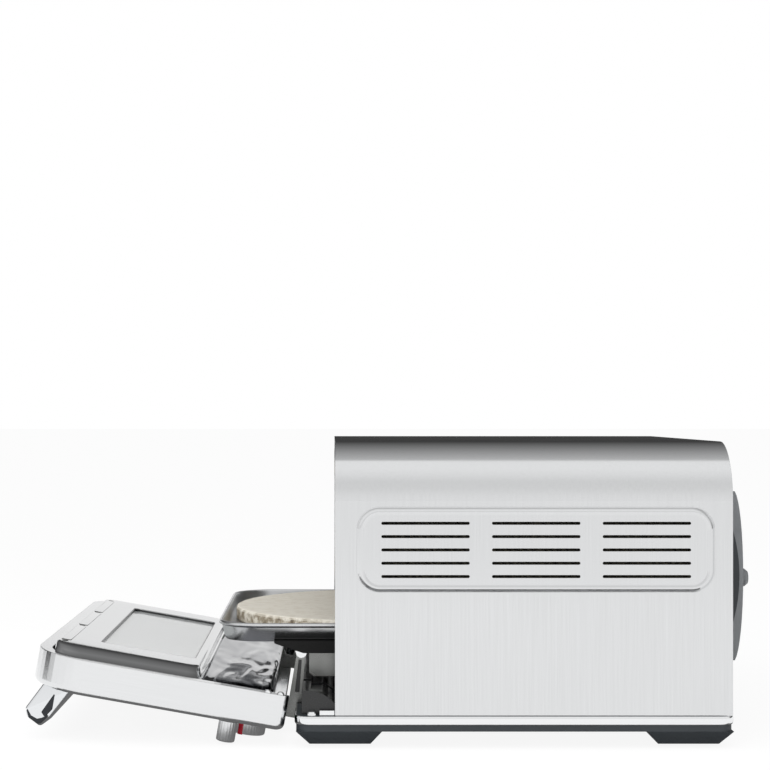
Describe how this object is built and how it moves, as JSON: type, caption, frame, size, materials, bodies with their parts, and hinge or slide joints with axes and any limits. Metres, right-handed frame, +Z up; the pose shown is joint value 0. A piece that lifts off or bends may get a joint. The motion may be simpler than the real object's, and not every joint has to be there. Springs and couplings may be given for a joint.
{
  "type": "electric pizza oven",
  "caption": "Countertop electric pizza oven with a drop-down front door, a deck that slides out as the door opens, side louvres and dials.",
  "frame": {"origin": "middle of the outer box's footprint, on the floor, with the door open and the deck out", "axes": "+Z up, -Y to the front, X across the oven"},
  "size_m": [0.47, 0.6724, 0.2714],
  "materials": {
    "brushed_steel": "brushed stainless sheet, fine grain",
    "polished_trim": "polished steel",
    "formed_steel": "satin formed sheet",
    "slate_plastic": "moulded slate-grey plastic",
    "pad_rubber": "matt rubber",
    "black_enamel": "black heat-proof enamel",
    "cavity_steel": "heat-dulled steel",
    "mineral_wool": "mineral wool blanket",
    "element_sheath": "oxidised tube",
    "ceramic_bead": "glazed bead",
    "seal_braid": "glass-fibre braid",
    "dark_panel": "dark mirror-like steel",
    "circuit_board": "solder-masked board",
    "clear_glass": "toughened glass",
    "tinted_glass": "tinted toughened glass",
    "hinge_steel": "stamped steel",
    "cordierite": "cordierite stone",
    "dial_metal": "turned and ribbed"
  },
  "bodies": {
    "housing": {"base_tray": "slate_plastic", "base_trim": "polished_trim", "foot_pads": "pad_rubber", "hinge_pins": "hinge_steel", "front_sill": "black_enamel", "sill_screws": "hinge_steel", "face_plate": "formed_steel", "outer_wrapper": "brushed_steel", "cavity_liner": "cavity_steel", "insulation_blanket": "mineral_wool", "deck_rails": "cavity_steel", "upper_element": "element_sheath", "lower_element": "element_sheath", "element_terminals": "ceramic_bead", "heat_reflector": "polished_trim", "temperature_probe": "hinge_steel", "door_seal": "seal_braid", "rear_panel": "dark_panel", "rear_cover": "slate_plastic", "wall_spacers": "pad_rubber", "cord_inlet": "pad_rubber", "power_board": "circuit_board", "fan_housing": "black_enamel", "rear_screws": "hinge_steel", "base_screws": "hinge_steel"},
    "deck": {"deck_tray": "formed_steel", "pizza_stone": "cordierite", "deck_underframe": "black_enamel", "deck_brackets": "formed_steel", "deck_rollers": "hinge_steel"},
    "door": {"door_shell": "brushed_steel", "door_inner_frame": "black_enamel", "door_lower_panel": "dark_panel", "door_raised_panel": "formed_steel", "outer_glass": "tinted_glass", "inner_glass": "clear_glass", "window_gasket": "pad_rubber", "door_screws": "hinge_steel", "handle_bar": "polished_trim", "handle_mounts": "polished_trim", "hinge_levers": "hinge_steel", "lever_rollers": "hinge_steel", "control_board": "circuit_board", "dial_sockets": "black_enamel"},
    "fan": {"fan_rotor": "slate_plastic"},
    "right_dial": {"right_dial": "dial_metal"},
    "centre_dial": {"centre_dial": "dial_metal"},
    "left_dial": {"left_dial": "dial_metal"},
    "side_knob": {"side_knob": "dial_metal"}
  },
  "joints": [
    {"name": "door_hinge", "type": "hinge", "parent": "housing", "child": "door", "pos_m": [0, -0.08038, 0.019], "axis": [-1, 0, 0], "range_deg": [0, 80]},
    {"name": "deck_slide", "type": "slide", "parent": "housing", "child": "deck", "axis": [0, 1, 0], "range_m": [0, 0.118]},
    {"name": "fan_spin", "type": "hinge", "parent": "housing", "child": "fan", "pos_m": [-0.2198, 0.12182, 0.1765], "axis": [1, 0, 0], "continuous": true},
    {"name": "right_dial_turn", "type": "hinge", "parent": "door", "child": "right_dial", "pos_m": [0.177, -0.13518, 0.02094], "axis": [0, 0.1736, 0.9848], "range_deg": [0, 270]},
    {"name": "centre_dial_turn", "type": "hinge", "parent": "door", "child": "centre_dial", "pos_m": [0, -0.13518, 0.02094], "axis": [0, 0.1736, 0.9848], "range_deg": [0, 270]},
    {"name": "left_dial_turn", "type": "hinge", "parent": "door", "child": "left_dial", "pos_m": [-0.177, -0.13518, 0.02094], "axis": [0, 0.1736, 0.9848], "range_deg": [0, 270]},
    {"name": "side_knob_turn", "type": "hinge", "parent": "door", "child": "side_knob", "pos_m": [0.205, -0.15094, 0.02372], "axis": [0, 0.1736, 0.9848], "range_deg": [0, 300]}
  ],
  "couplings": [
    {"joint": "deck_slide", "follows": "door_hinge", "m_per_rad": 0.08451}
  ]
}
